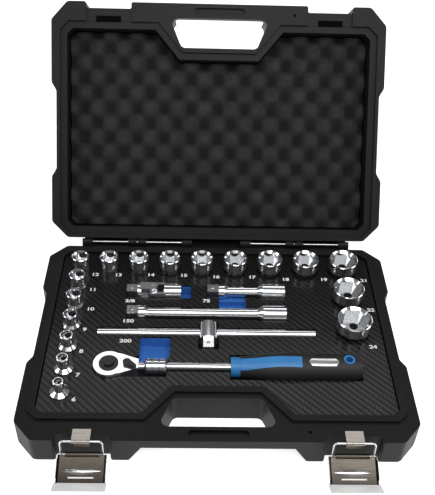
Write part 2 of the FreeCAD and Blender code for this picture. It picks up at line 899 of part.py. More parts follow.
def universal_joint():
    x = S.joint_left
    row = S.joint_row
    middle = S.joint_centre
    arm = S.joint_arm
    radius = S.joint_radius
    fit = S.joint_fit
    inside = radius - arm
    # half with the male square: arms above and below the block
    male = new_body("DriveFork")
    pad(male, "YZ_Plane", [square(S.drive_square)], 0, S.square_length + 1)
    pad(male, "YZ_Plane", [(0, 0, radius)], S.square_length, middle - S.joint_base - S.square_length)
    reach = long_slot(middle - S.joint_base - 1, middle, 0, S.joint_arm_round)
    for low in (inside, -radius):
        pad(male, "XY_Plane", [reach], low, arm)
        pad(male, "XY_Plane", [(middle, 0, S.joint_arm_round)], low, arm)
    pocket(male, "XY_Plane", [(middle, 0, S.joint_pin + fit)], -radius - 1, 2 * radius + 2)
    at = S.square_length / 2
    pocket(male, "XY_Plane", [(at, 0, S.ball_radius + S.ball_clear)], S.drive_square / 2 - S.ball_sink, S.ball_bore)
    place(male, x, row, deck)
    finish(male, "joint_drive_fork")
    # half with the female square: arms on both sides of the block
    female = new_body("SocketFork")
    base = middle + S.joint_base
    pad(female, "YZ_Plane", [(0, 0, radius)], base, S.joint_length - base)
    reach = long_slot(middle, base + 1, 0, S.joint_arm_round)
    for low in (inside, -radius):
        pad(female, "XZ_Plane", [reach], low, arm)
        pad(female, "XZ_Plane", [(middle, 0, S.joint_arm_round)], low, arm)
    pocket(female, "XZ_Plane", [(middle, 0, S.joint_pin + fit)], -radius - 1, 2 * radius + 2)
    hole = square(S.drive_square + S.square_clear)
    pocket(female, "YZ_Plane", [hole], S.joint_length - S.square_depth, S.square_depth + 1)
    place(female, x, row, deck)
    finish(female, "joint_socket_fork")
    block = new_body("JointBlock")
    edge = S.joint_block
    pad(block, "XY_Plane", [square(2 * edge, middle, 0)], -edge, 2 * edge)
    pocket(block, "XY_Plane", [(middle, 0, S.joint_pin + fit)], -edge - 1, 2 * edge + 2)
    pocket(block, "XZ_Plane", [(middle, 0, S.joint_pin + fit)], -edge - 1, 2 * edge + 2)
    place(block, x, row, deck)
    finish(block, "joint_block")
    pin = primitive("Cylinder", Radius=S.joint_pin, Height=2 * radius)
    place(pin, x + middle, row, deck - radius)
    finish(pin, "joint_upright_pin")
    stubs = []
    long = radius - S.joint_pin - 0.4
    for side in (-1, 1):
        stub = primitive("Cylinder", Radius=S.joint_pin, Height=long)
        stub.Placement.Rotation = FreeCAD.Rotation(FreeCAD.Vector(1, 0, 0), -90)
        start = row - radius if side < 0 else row + radius - long
        place(stub, x + middle, start, deck)
        stubs.append(stub)
    group = doc.addObject("Part::Compound", "SidePins")
    group.Links = stubs
    finish(group, "joint_side_pins")
    high = deck + S.drive_square / 2 + S.ball_proud - S.ball_radius
    drive_ball("joint_ball", x + at, row, high)


def ratchet_body():
    body = new_body("RatchetBody")
    top = S.head_top
    thick = S.head_top + S.head_low
    pad(body, "XY_Plane", [(0, 0, S.head_radius)], -S.head_low, thick)
    teardrop = [
        (-2, -S.head_radius + 0.15),
        (S.head_side_at, -S.head_side_half),
        (S.head_tail, -S.head_tail_half),
        (S.head_tail, S.head_tail_half),
        (S.head_side_at, S.head_side_half),
        (-2, S.head_radius - 0.15),
    ]
    pad(body, "XY_Plane", [teardrop], -S.head_low, thick)
    neck = S.neck_radius
    big = S.collar_radius
    first = S.collar_start
    step = S.collar_length / 3
    groove = S.collar_groove
    profile = [(S.head_tail - 3, 0), (S.head_tail - 3, neck), (first - 1.5, neck)]
    for ring in range(3):
        x = first + ring * step
        profile.append((x, big - groove))
        profile.append((x + groove, big))
        profile.append((x + step - groove, big))
        profile.append((x + step, big - groove))
        if ring < 2:
            profile.pop()
    last = first + S.collar_length
    profile.append((last + 1.2, neck))
    profile.append((S.shaft_end, neck))
    profile.append((S.shaft_end, 0))
    revolve(body, "XZ_Plane", profile, "H_Axis")
    gear = S.gear_radius + S.gear_clear
    pocket(body, "XY_Plane", [(0, 0, gear)], -S.head_low - 1, thick - S.cover_seat + 1)
    pocket(body, "XY_Plane", [(0, 0, S.cover_radius)], 0, top + 1)
    stem = S.selector_stem + S.gear_clear
    pocket(body, "XY_Plane", [(S.selector_at, 0, stem)], top - 4, 5)
    place(body, S.ratchet_left, S.ratchet_row, deck)
    finish(body, "ratchet_body")


def ratchet_cover():
    body = new_body("Cover")
    low = S.head_top - S.cover_seat
    pad(body, "XY_Plane", [(0, 0, S.cover_radius)], low, S.cover_seat + S.cover_proud)
    bore = (0, 0, S.button_radius + S.cover_gap)
    pocket(body, "XY_Plane", [bore], low - 1, S.cover_seat + S.cover_proud + 2)
    place(body, S.ratchet_left, S.ratchet_row, deck)
    finish(body, "ratchet_cover")


def ratchet_drive():
    # plug that turns in the head, with the square that takes the sockets
    body = new_body("Drive")
    low = -S.head_low
    high = S.head_top - S.cover_seat - S.button_clear
    pad(body, "XY_Plane", [(0, 0, S.gear_radius)], low, high - low)
    pad(body, "XY_Plane", [square(S.drive_square)], low - S.square_length, S.square_length + 1)
    well = S.button_depth + S.button_travel + 0.4
    pocket(body, "XY_Plane", [(0, 0, S.button_radius + S.gear_clear)], high - well, well + 1)
    at = low - S.square_length / 2
    pocket(body, "YZ_Plane", [(0, at, S.ball_radius + S.ball_clear)], S.drive_square / 2 - 4.4, 6)
    place(body, S.ratchet_left, S.ratchet_row, deck)
    finish(body, "ratchet_drive")
    out = S.drive_square / 2 + S.ball_proud - S.ball_radius
    drive_ball("ratchet_ball", S.ratchet_left + out, S.ratchet_row, deck + at)


def ratchet_button():
    high = S.head_top - S.cover_seat - S.button_clear
    tall = S.button_depth + S.button_clear + S.cover_seat + S.cover_proud + S.button_proud
    button = primitive("Cylinder", Radius=S.button_radius, Height=tall)
    place(button, S.ratchet_left, S.ratchet_row, deck + high - S.button_depth)
    finish(button, "ratchet_button")


def ratchet_selector():
    # drop-shaped reversing lever on the tail of the head
    body = new_body("Selector")
    low = 0.3
    pad(body, "XY_Plane", [(0, 0, S.selector_round)], low, S.selector_thick)
    drop = [
        (0, -S.selector_round + 0.1),
        (S.selector_length, -S.selector_tip),
        (S.selector_length, S.selector_tip),
        (0, S.selector_round - 0.1),
    ]
    pad(body, "XY_Plane", [drop], low, S.selector_thick)
    pad(body, "XY_Plane", [(0, 0, S.selector_stem)], -3.5, 4.5)
    body.Placement.Rotation = FreeCAD.Rotation(FreeCAD.Vector(0, 0, 1), -float(S.selector_turn))
    bind(body, "Placement.Rotation.Angle", -S.selector_turn)
    place(body, S.ratchet_left + S.selector_at, S.ratchet_row, deck + S.head_top)
    finish(body, "ratchet_selector")


def grip():
    # the handle's outside is lofted through round sections, then shared out between
    # the black sleeve, the blue core that shows as a stripe, the plate and the eyelet
    start = S.grip_start + S.grip_collar
    long = S.grip_length - S.grip_collar
    sections = (
        (0, S.grip_neck_radius),
        (0.22, S.grip_full_radius * 0.93),
        (0.45, S.grip_full_radius),
        (0.68, S.grip_waist_radius),
        (0.86, S.grip_full_radius * 0.94),
        (1, S.grip_tail_radius),
    )
    form = new_body("GripForm")
    rings = []
    for share, radius in sections:
        sketch = new_sketch(form, "YZ_Plane", start + share * long)
        draw(sketch, (0, 0, radius))
        rings.append(sketch)
    loft = form.newObject("PartDesign::AdditiveLoft", "Loft")
    loft.Profile = rings[0]
    loft.Sections = rings[1:]
    place(form, S.ratchet_left, S.ratchet_row, deck)
    x = S.ratchet_left
    row = S.ratchet_row
    tang = primitive("Cylinder", Radius=S.neck_radius, Height=S.shaft_end)
    tang.Placement.Rotation = FreeCAD.Rotation(FreeCAD.Vector(0, 1, 0), 90)
    place(tang, x, row, deck)
    band = primitive("Box", Length=S.stripe_length, Width=2 * S.stripe_half, Height=S.stripe_tall)
    place(band, x + start - 1, row - S.stripe_shift - S.stripe_half, deck + 5)
    ring = primitive("Cylinder", Radius=S.grip_collar_radius, Height=S.grip_collar)
    ring.Placement.Rotation = FreeCAD.Rotation(FreeCAD.Vector(0, 1, 0), 90)
    place(ring, x + S.grip_start, row, deck)
    plate = new_body("PlateForm")
    lozenge = [
        (-S.badge_half_length, 0),
        (-S.badge_half_length + 3, -S.badge_half_width),
        (S.badge_half_length - 3, -S.badge_half_width),
        (S.badge_half_length, 0),
        (S.badge_half_length - 3, S.badge_half_width),
        (-S.badge_half_length + 3, S.badge_half_width),
    ]
    pad(plate, "XY_Plane", [lozenge], S.grip_waist_radius - S.badge_deep, S.stripe_tall)
    place(plate, x + S.grip_start + S.badge_at, row - S.stripe_shift, deck)
    hole = primitive("Cylinder", Radius=S.eyelet_outer, Height=S.eyelet_drill)
    place(hole, x + S.grip_start + S.eyelet_at, row, deck - S.eyelet_drill / 2)
    finish(cut(joined([ring, common(form, band)]), tang), "grip_core")
    finish(cut(form, joined([band, plate, hole, tang])), "grip_sleeve")
    finish(common(form, plate), "grip_plate")
    tall = S.grip_full_radius * 0.9
    tube = primitive("Cylinder", Radius=S.eyelet_outer, Height=2 * tall)
    place(tube, x + S.grip_start + S.eyelet_at, row, deck - tall)
    inner = primitive("Cylinder", Radius=S.eyelet_inner, Height=S.eyelet_drill)
    place(inner, x + S.grip_start + S.eyelet_at, row, deck - S.eyelet_drill / 2)
    finish(cut(tube, inner), "grip_eyelet")


def curl_radius():
    return S.wire_radius + S.wire_clear + S.strap_thick


def wire_pivot():
    # (y, z) of the wire's top bar, held in the strap's curl
    return front, deck + S.strap_thick - curl_radius()


def lever_pivot():
    # (y, z) of the wire's ends, on which the lever hangs
    y, z = wire_pivot()
    return y - S.wire_drop * turn("sin", S.wire_lean), z - S.wire_drop * turn("cos", S.wire_lean)


def latch_strap(name, middle):
    # bent out of a slit in the rim, over the edge and round the wire
    body = new_body("Strap")
    y, z = wire_pivot()
    left = middle - S.strap_width / 2
    thick = S.strap_thick
    over = rectangle(y, front + S.strap_reach, deck, deck + thick)
    pad(body, "YZ_Plane", [over], left, S.strap_width)
    reach = front + S.strap_reach
    root = rectangle(reach - thick, reach, deck - S.strap_root, deck + thick)
    pad(body, "YZ_Plane", [root], left, S.strap_width)
    pad(body, "YZ_Plane", [(y, z, curl_radius())], left, S.strap_width)
    inner = curl_radius()
    tail = rectangle(y + inner - thick, y + inner, z - S.strap_tail, z)
    pad(body, "YZ_Plane", [tail], left + 1, S.strap_width - 2)
    pocket(body, "YZ_Plane", [(y, z, S.wire_radius + S.wire_clear)], left - 1, S.strap_width + 2)
    finish(body, "latch_strap_" + name)


def bar(length, x, y, z, axis, angle):
    item = primitive("Cylinder", Radius=S.wire_radius, Height=length)
    item.Placement.Rotation = FreeCAD.Rotation(FreeCAD.Vector(*axis), angle)
    place(item, x, y, z)
    return item


def elbow(x, z, first):
    # quarter bend in the XZ plane, from the angle first, in degrees
    item = primitive("Torus", Radius1=S.wire_bend, Radius2=S.wire_radius, Angle3=90)
    upright_turn = FreeCAD.Rotation(FreeCAD.Vector(1, 0, 0), 90)
    item.Placement.Rotation = upright_turn * FreeCAD.Rotation(FreeCAD.Vector(0, 0, 1), first)
    place(item, x, 0, z)
    return item


def latch_wire(name, middle):
    # drawn upright about its top bar, then leant and moved to the strap's curl
    bend = S.wire_bend
    half = S.wire_half
    drop = S.wire_drop
    flat = 2 * half - 2 * bend
    pieces = [bar(flat, -half + bend, 0, 0, (0, 1, 0), 90)]
    for side in (-1, 1):
        x = side * half
        pieces.append(bar(drop - 2 * bend, x, 0, -drop + bend, (0, 0, 1), 0))
        inner = x - side * bend
        pieces.append(elbow(inner, -bend, 0 if side > 0 else 90))
        pieces.append(elbow(inner, -drop + bend, 270 if side > 0 else 180))
        end = S.wire_end
        pieces.append(bar(end, inner - end if side > 0 else inner, 0, -drop, (0, 1, 0), 90))
    wire = joined(pieces)
    y, z = wire_pivot()
    tilt(wire, -S.wire_lean)
    place(wire, middle, y, z)
    finish(wire, "latch_wire_" + name)


def latch_lever(name, middle):
    # drawn flat with its rolled edge on X and the lip towards -Y, then sloped
    body = new_body("Lever")
    roll = S.wire_radius + S.wire_clear + S.lever_thick
    low = -roll
    thick = S.lever_thick
    half = S.lever_width / 2
    long = S.lever_length
    plate = rectangle(-long, 0, low, low + thick)
    pad(body, "YZ_Plane", [plate], -half, S.lever_width)
    c = turn("cos", S.lip_bend)
    s = turn("sin", S.lip_bend)
    lip = [
        (-long, low),
        (-long - S.lip_length * c, low + S.lip_length * s),
        (-long - S.lip_length * c + thick * s, low + S.lip_length * s + thick * c),
        (-long + thick * s, low + thick * c),
    ]
    pad(body, "YZ_Plane", [lip], -S.lip_width / 2, S.lip_width)
    pad(body, "YZ_Plane", [(0, 0, roll)], -S.lever_roll / 2, S.lever_roll)
    for side in (-half, half - thick):
        high = low + S.lever_flange
        flange = [(-2, low), (-long + 3, low), (-long + 4.5, high), (-4, high)]
        pad(body, "YZ_Plane", [flange], side, thick)
    pocket(body, "YZ_Plane", [(0, 0, S.wire_radius + S.wire_clear)], -half - 1, S.lever_width + 2)
    slit = rectangle(-half * 0.52, half * 0.52, -long + 4, -long + 5.2)
    pocket(body, "XY_Plane", [slit], low - 1, thick + 2)
    y, z = lever_pivot()
    tilt(body, S.lever_slope)
    place(body, middle, y, z)
    finish(body, "latch_lever_" + name)


def latches():
    for name, side in (("left", -1), ("right", 1)):
        middle = side * latch_middle
        latch_strap(name, middle)
        latch_wire(name, middle)
        latch_lever(name, middle)


def check_and_write():
    doc.recompute()
    for item in doc.Objects:
        if "Invalid" in item.State or "Error" in item.State:
            raise ValueError("%s of %s failed" % (item.Name, item.TypeId))
        if item.TypeId == "PartDesign::Pocket":
            before = item.BaseFeature.Shape.Volume
            if item.Shape.Volume > before - 0.01:
                raise ValueError("%s cuts nothing" % item.Name)
    os.makedirs("parts", exist_ok=True)
    for label, item in subparts.items():
        if item.Shape.isNull() or not item.Shape.isValid() or not item.Shape.Solids:
            raise ValueError("%s has no sound shape" % label)
    for label, item in subparts.items():
        item.Shape.exportStep("parts/%s.step" % label)


base_shell()
lid_shell()
lid_foam()
hinge_pins()
for number, spot in sorted(socket_spots().items()):
    socket(number, spot)
tray()
extension("short_extension", S.short_length, S.short_left, S.short_row)
extension("long_extension", S.long_length, S.long_left, S.long_row)
tee_bar()
universal_joint()
ratchet_body()
ratchet_cover()
ratchet_drive()
ratchet_button()
ratchet_selector()
grip()
latches()
check_and_write()
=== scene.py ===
import bmesh
import bpy
import json
import math
import numpy as np
from mathutils import Matrix, Vector


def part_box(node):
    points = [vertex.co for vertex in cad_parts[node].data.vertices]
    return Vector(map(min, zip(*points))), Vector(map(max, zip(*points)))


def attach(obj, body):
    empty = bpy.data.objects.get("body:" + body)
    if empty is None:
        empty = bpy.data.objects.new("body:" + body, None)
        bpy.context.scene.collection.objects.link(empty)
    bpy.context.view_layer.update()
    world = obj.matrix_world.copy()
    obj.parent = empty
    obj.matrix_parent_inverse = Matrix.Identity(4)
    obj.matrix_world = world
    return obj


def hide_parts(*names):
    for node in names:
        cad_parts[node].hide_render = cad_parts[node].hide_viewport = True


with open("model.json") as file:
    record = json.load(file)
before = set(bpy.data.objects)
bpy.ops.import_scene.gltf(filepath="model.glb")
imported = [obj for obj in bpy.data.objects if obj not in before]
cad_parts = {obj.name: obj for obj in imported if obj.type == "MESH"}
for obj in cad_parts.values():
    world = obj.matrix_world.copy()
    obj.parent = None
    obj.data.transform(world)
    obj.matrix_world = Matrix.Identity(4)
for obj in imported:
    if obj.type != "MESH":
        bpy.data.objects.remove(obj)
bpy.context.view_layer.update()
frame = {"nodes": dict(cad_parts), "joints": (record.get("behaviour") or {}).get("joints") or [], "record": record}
nodes = frame["nodes"]
joints = {j["name"]: j for j in frame["joints"]}
slots = {s["node"]: s["material_slot"] for s in frame["record"]["subparts"]}
mm = 0.001
print("frame loaded,", len(nodes), "nodes")


# camera, at the place and turn from which the case was photographed
shot = {"place": (-20.709, -487.902, 563.071), "yaw": 2.106, "pitch": 41.404, "roll": 2.235,
        "lens": 56.995, "sensor": 36, "nearest": 0.01}


def setCamera():
    yaw, pitch, roll = (math.radians(shot[k]) for k in ("yaw", "pitch", "roll"))
    ahead = Vector((math.sin(yaw) * math.cos(pitch), math.cos(yaw) * math.cos(pitch), -math.sin(pitch)))
    right = Vector((math.cos(yaw), -math.sin(yaw), 0))
    up = right.cross(ahead)
    side = right * math.cos(roll) + up * math.sin(roll)
    top = up * math.cos(roll) - right * math.sin(roll)
    lens = bpy.data.cameras.new("camera")
    lens.lens = shot["lens"]
    lens.sensor_width = shot["sensor"]
    lens.clip_start = shot["nearest"]
    camera = bpy.data.objects.new("camera", lens)
    turn = Matrix((side, top, -ahead)).transposed().to_4x4()
    camera.matrix_world = Matrix.Translation(Vector(shot["place"]) * mm) @ turn
    bpy.context.scene.collection.objects.link(camera)
    bpy.context.scene.camera = camera


# floor and soft studio light
studio = {"floor": 0.9, "glow": 0.75, "rough": 0.9, "world": 0.16, "edge": 8.0, "drop": 0.0005}
lamps = {
    "keyLight": {"place": (0.15, -0.75, 1.5), "aim": (0, 0.05, 0.05), "size": (1.2, 0.8), "power": 14.0},
    "backLight": {"place": (0, 0.98, 1.5), "aim": (0, 0.1, 0.05), "size": (1.6, 0.5), "power": 4.0},
    "leftLight": {"place": (-1.1, -0.1, 0.7), "aim": (0, 0, 0.08), "size": (0.5, 1.0), "power": 5.0},
    "rightLight": {"place": (1.1, -0.1, 0.7), "aim": (0, 0, 0.08), "size": (0.5, 1.0), "power": 5.0},
    "frontLight": {"place": (0, -1.25, 1.1), "aim": (0, 0, 0.03), "size": (1.4, 0.5), "power": 1.2},
}


def addLight(name, place, aim, size, power):
    data = bpy.data.lights.new(name, "AREA")
    data.shape = "RECTANGLE"
    data.size, data.size_y = size
    data.energy = power
    lamp = bpy.data.objects.new(name, data)
    lamp.location = place
    lamp.rotation_euler = (Vector(aim) - Vector(place)).to_track_quat("-Z", "Y").to_euler()
    bpy.context.scene.collection.objects.link(lamp)


def setStudio():
    world = bpy.data.worlds.new("studio")
    world.use_nodes = True
    sky = world.node_tree.nodes["Background"]
    sky.inputs["Color"].default_value = (1, 1, 1, 1)
    # the sky is white where it is seen and dim where it lights
    seen = world.node_tree.nodes.new("ShaderNodeLightPath")
    gain = world.node_tree.nodes.new("ShaderNodeMath")
    gain.operation = "MULTIPLY_ADD"
    gain.inputs[1].default_value = 1.0 - studio["world"]
    gain.inputs[2].default_value = studio["world"]
    world.node_tree.links.new(seen.outputs["Is Camera Ray"], gain.inputs[0])
    world.node_tree.links.new(gain.outputs["Value"], sky.inputs["Strength"])
    bpy.context.scene.world = world
    bpy.context.scene.view_settings.view_transform = "Standard"
    floor = bpy.data.meshes.new("floor")
    edge = studio["edge"]
    corners = [(-edge, -edge, 0), (edge, -edge, 0), (edge, edge, 0), (-edge, edge, 0)]
    floor.from_pydata(corners, [], [(0, 1, 2, 3)])
    paint = bpy.data.materials.new("floorPaint")
    paint.use_nodes = True
    shade = studio["floor"]
    coat = paint.node_tree.nodes["Principled BSDF"]
    coat.inputs["Base Color"].default_value = (shade, shade, shade, 1)
    coat.inputs["Roughness"].default_value = studio["rough"]
    coat.inputs["Emission Color"].default_value = (1, 1, 1, 1)
    coat.inputs["Emission Strength"].default_value = studio["glow"]
    floor.materials.append(paint)
    ground = bpy.data.objects.new("floor", floor)
    ground.location.z = -studio["drop"]
    bpy.context.scene.collection.objects.link(ground)
    for name, lamp in lamps.items():
        addLight(name, **lamp)


setCamera()
setStudio()
print("camera and light set")


# small wrappers for shader nodes
def addNode(tree, kind, **values):
    node = tree.nodes.new("ShaderNode" + kind)
    for key, value in values.items():
        name = key.replace("_", " ")
        if name in node.inputs:
            node.inputs[name].default_value = value
        else:
            setattr(node, key, value)
    return node


def link(tree, source, out, target, into):
    tree.links.new(source.outputs[out], target.inputs[into])


def newFinish(name, **sockets):
    finish = bpy.data.materials.new(name)
    finish.use_nodes = True
    shader = finish.node_tree.nodes["Principled BSDF"]
    for key, value in sockets.items():
        shader.inputs[key.replace("_", " ")].default_value = value
    return finish, finish.node_tree, shader


def noise(tree, scale, stretch=(1, 1, 1), detail=4.0):
    mapping = addNode(tree, "Mapping", Scale=stretch)
    link(tree, addNode(tree, "TexCoord"), "Object", mapping, "Vector")
    grain = addNode(tree, "TexNoise", Scale=scale, Detail=detail, Roughness=0.6)
    link(tree, mapping, "Vector", grain, "Vector")
    return grain.outputs["Fac"]


def ramp(tree, value, low, high):
    # a colour between two stops, each a place from 0 to 1 and its colour
    fade = addNode(tree, "ValToRGB")
    for element, (spot, colour) in zip(fade.color_ramp.elements, (low, high)):
        element.position = spot
        element.color = (*colour, 1)
    tree.links.new(value, fade.inputs["Fac"])
    return fade.outputs["Color"]


def grey(value):
    return (value, value, value)


def bump(tree, shader, height, strength, distance):
    relief = addNode(tree, "Bump", Strength=strength, Distance=distance)
    tree.links.new(height, relief.inputs["Height"])
    link(tree, relief, "Normal", shader, "Normal")


def sums(tree, operation, a, b=None):
    # one Math node on numbers or sockets
    node = addNode(tree, "Math", operation=operation)
    for index, value in enumerate((a, b)):
        if isinstance(value, (int, float)):
            node.inputs[index].default_value = value
        elif value is not None:
            tree.links.new(value, node.inputs[index])
    return node.outputs[0]


def mixColours(tree, factor, first, second, blend="MIX"):
    # one colour Mix node on numbers, colours or sockets; its colour sockets go by place, as their names repeat
    node = addNode(tree, "Mix", data_type="RGBA", blend_type=blend)
    for socket, value in ((node.inputs["Factor"], factor), (node.inputs[6], first), (node.inputs[7], second)):
        if isinstance(value, bpy.types.NodeSocket):
            tree.links.new(value, socket)
        else:
            socket.default_value = value
    return node.outputs[2]


def coloured(shader):
    # the socket that gives the shader its colour so far
    return shader.inputs["Base Color"].links[0].from_socket


def objectPlace(tree):
    # X, Y and Z of the point on the piece
    split = addNode(tree, "SeparateXYZ")
    link(tree, addNode(tree, "TexCoord"), "Object", split, "Vector")
    return (split.outputs[axis] for axis in "XYZ")


def grained(name, dark, light, rough, grainScale, depth, stretch=(1, 1, 1), **sockets):
    # colour drifts with a broad noise; a fine noise gives the roughness and the moulded or brushed grain
    finish, tree, shader = newFinish(name, **sockets)
    broad = noise(tree, 18.0, detail=5.0)
    tree.links.new(ramp(tree, broad, (0.3, dark), (0.7, light)), shader.inputs["Base Color"])
    fine = noise(tree, grainScale, stretch, detail=3.0)
    gloss = ramp(tree, fine, (0.3, grey(rough[0])), (0.7, grey(rough[1])))
    tree.links.new(gloss, shader.inputs["Roughness"])
    bump(tree, shader, fine, 0.35, depth)
    return finish


film = {"yarn": 1.75, "depth": 190.0, "warp": 0.8, "weft": 0.02, "least": 0.17, "gain": 0.65,
        "dark": 0.0022, "light": 0.085, "relief": 0.15}


def twillFilm():
    # 2/2 twill: cell (i, j) of yarns shows the lengthways yarn where i + j is 0 or 1 of each 4,
    # and the crossways one elsewhere
    yarn = film["yarn"] * mm
    finish, tree, shader = newFinish("twillFilm", Specular_IOR_Level=0.12, Coat_Weight=0.22,
                                     Coat_Roughness=0.12)
    x, y, z = objectPlace(tree)

    def maths(operation, a, b=None):
        return sums(tree, operation, a, b)

    across = maths("DIVIDE", x, yarn)
    along = maths("DIVIDE", y, yarn)
    step = maths("ADD", maths("FLOOR", across), maths("FLOOR", along))
    isWarp = maths("LESS_THAN", maths("FRACT", maths("DIVIDE", step, 4.0)), 0.5)

    def crown(value):
        return maths("SINE", maths("MULTIPLY", maths("FRACT", value), math.pi))

    warp = maths("MULTIPLY", isWarp, crown(across))
    weft = maths("MULTIPLY", maths("SUBTRACT", 1.0, isWarp), crown(along))
    height = maths("ADD", warp, weft)
    tone = maths("ADD", maths("MULTIPLY", warp, film["warp"]), maths("MULTIPLY", weft, film["weft"]))
    # the weave shows more towards the front edge, painted light where the lamps fall most on the film, and in
    # patches
    worn = ramp(tree, noise(tree, 22.0), (0.35, grey(0.55)), (0.7, grey(1.0)))
    # painted light: the weave's colour grows lighter towards the front of the tray
    reach = maths("SUBTRACT", 0.5, maths("DIVIDE", y, film["depth"] * mm))
    paintedFrontLight = maths("ADD", film["least"], maths("MULTIPLY", reach, film["gain"]))
    tone = maths("MULTIPLY", tone, maths("MULTIPLY", worn, paintedFrontLight))
    colour = ramp(tree, tone, (0.0, grey(film["dark"])), (1.0, grey(film["light"])))
    tree.links.new(colour, shader.inputs["Base Color"])
    gloss = ramp(tree, noise(tree, 60.0), (0.3, grey(0.3)), (0.7, grey(0.4)))
    tree.links.new(gloss, shader.inputs["Roughness"])
    bump(tree, shader, height, 0.5, film["relief"] * mm)
    return finish


def cellFoam(name, dark, light, cell, depth, **sockets):
    # open pores from a cell pattern, with a broad noise for uneven dye
    finish, tree, shader = newFinish(name, Roughness=0.95, **sockets)
    broad = noise(tree, 90.0, detail=6.0)
    tree.links.new(ramp(tree, broad, (0.3, dark), (0.7, light)), shader.inputs["Base Color"])
    pores = addNode(tree, "TexVoronoi", Scale=cell)
    link(tree, addNode(tree, "TexCoord"), "Object", pores, "Vector")
    bump(tree, shader, pores.outputs["Distance"], 0.6, depth)
    return finish


# blue shows in the finger pockets; the tools' own pockets get painted shade, the blue foam coloured dark navy
fingers = {"joint": (-34.6, -24.3, 44.0, 62.0), "short": (1.5, 28.0, 29.8, 62.5),
           "ratchet": (-70.2, -42.0, -29.0, -5.5)}
shadowNavy = (0.002, 0.004, 0.012, 1)


def pocketFoam():
    # cell foam whose colour is bright blue inside the finger pockets' rectangles and painted shade, dark navy,
    # elsewhere
    finish = cellFoam("trayFoam", (0.03, 0.145, 0.47), (0.042, 0.19, 0.57), 1500.0, 0.1 * mm)
    tree = finish.node_tree
    shader = tree.nodes["Principled BSDF"]
    x, y, z = objectPlace(tree)

    def within(value, low, high):
        above = sums(tree, "GREATER_THAN", value, low * mm)
        return sums(tree, "MULTIPLY", above, sums(tree, "LESS_THAN", value, high * mm))

    mask = 0.0
    for left, right, near, far in fingers.values():
        mask = sums(tree, "MAXIMUM", mask, sums(tree, "MULTIPLY", within(x, left, right), within(y, near, far)))
    # painted shade: outside the finger pockets the foam takes the dark navy shadow colour
    tree.links.new(mixColours(tree, mask, shadowNavy, coloured(shader)), shader.inputs["Base Color"])
    return finish


def crateFoam():
    # cell foam with painted shade that makes it darkest in the valleys of the egg crate, and pale fibres on the
    # peaks
    finish = cellFoam("eggCrateFoam", grey(0.0075), grey(0.021), 900.0, 0.4 * mm, Sheen_Weight=0.1)
    tree = finish.node_tree
    shader = tree.nodes["Principled BSDF"]
    height = addNode(tree, "Attribute", attribute_name="swell").outputs["Fac"]
    # painted shade: the colour is dimmed from the peaks down into the valleys
    depth = ramp(tree, height, (0.1, grey(0.12)), (0.9, grey(1.15)))
    fibres = ramp(tree, noise(tree, 1400.0, detail=2.0), (0.62, grey(1.0)), (0.75, grey(2.6)))
    shade = coloured(shader)
    for layer in (depth, fibres):
        shade = mixColours(tree, 1.0, shade, layer, "MULTIPLY")
    tree.links.new(shade, shader.inputs["Base Color"])
    return finish


lever = {
    "middle": 111.0, "flangeAt": 18.2, "slope": 22.0, "low": -1.98, "thick": 0.9, "half": 20.0, "bendAt": 20.6,
    "lensAt": -13.2, "lensHalf": 16.4, "lensWidth": 2.7, "lensHigh": 1.0, "lensSunk": 0.05, "lensGrid": (41, 13),
    "studAt": -6.4, "studHigh": 1.5, "studRadius": 0.85, "studFlat": 0.8, "studSunk": 0.15, "studGrid": (17, 7),
    "lipReflectionTone": 0.93, "lipReflectionMatte": 0.85, "flangeDarken": 0.9, "bendShade": 0.25,
}


def leverSteel():
    # dark brushed plate, with a painted reflection that makes the lip beyond the bend bright
    finish = grained("leverSteel", (0.085, 0.074, 0.062), (0.15, 0.132, 0.112), (0.25, 0.36), 900.0, 0.008 * mm,
                     (0.04, 1, 1), Metallic=1.0)
    tree = finish.node_tree
    shader = tree.nodes["Principled BSDF"]
    x, y, z = objectPlace(tree)
    bend = joints["latch_lever_left_close"]["pos_m"][1] - lever["bendAt"] * mm
    isLip = sums(tree, "LESS_THAN", y, bend)
    # painted shade darkens the plate from the rolled edge to the bend, and the side flanges are darker
    rise = sums(tree, "DIVIDE", sums(tree, "SUBTRACT", y, bend), lever["bendAt"] * mm)
    # painted shade: the plate's colour is dimmed to a quarter at the bend
    shade = ramp(tree, rise, (0.0, grey(lever["bendShade"])), (1.0, grey(1.0)))
    aside = sums(tree, "SUBTRACT", sums(tree, "ABSOLUTE", x), lever["middle"] * mm)
    isFlange = sums(tree, "GREATER_THAN", sums(tree, "ABSOLUTE", aside), lever["flangeAt"] * mm)
    kept = sums(tree, "SUBTRACT", 1.0, sums(tree, "MULTIPLY", isFlange, lever["flangeDarken"]))
    dimmed = sums(tree, "MULTIPLY", shade, kept)
    plate = mixColours(tree, 1.0, coloured(shader), dimmed, "MULTIPLY")
    # painted reflection: beyond the bend the lip is a near-white, mostly non-metallic colour
    tree.links.new(mixColours(tree, isLip, plate, (*grey(lever["lipReflectionTone"]), 1)), shader.inputs["Base Color"])
    metal = sums(tree, "SUBTRACT", 1.0, sums(tree, "MULTIPLY", isLip, lever["lipReflectionMatte"]))
    tree.links.new(metal, shader.inputs["Metallic"])
    return finish


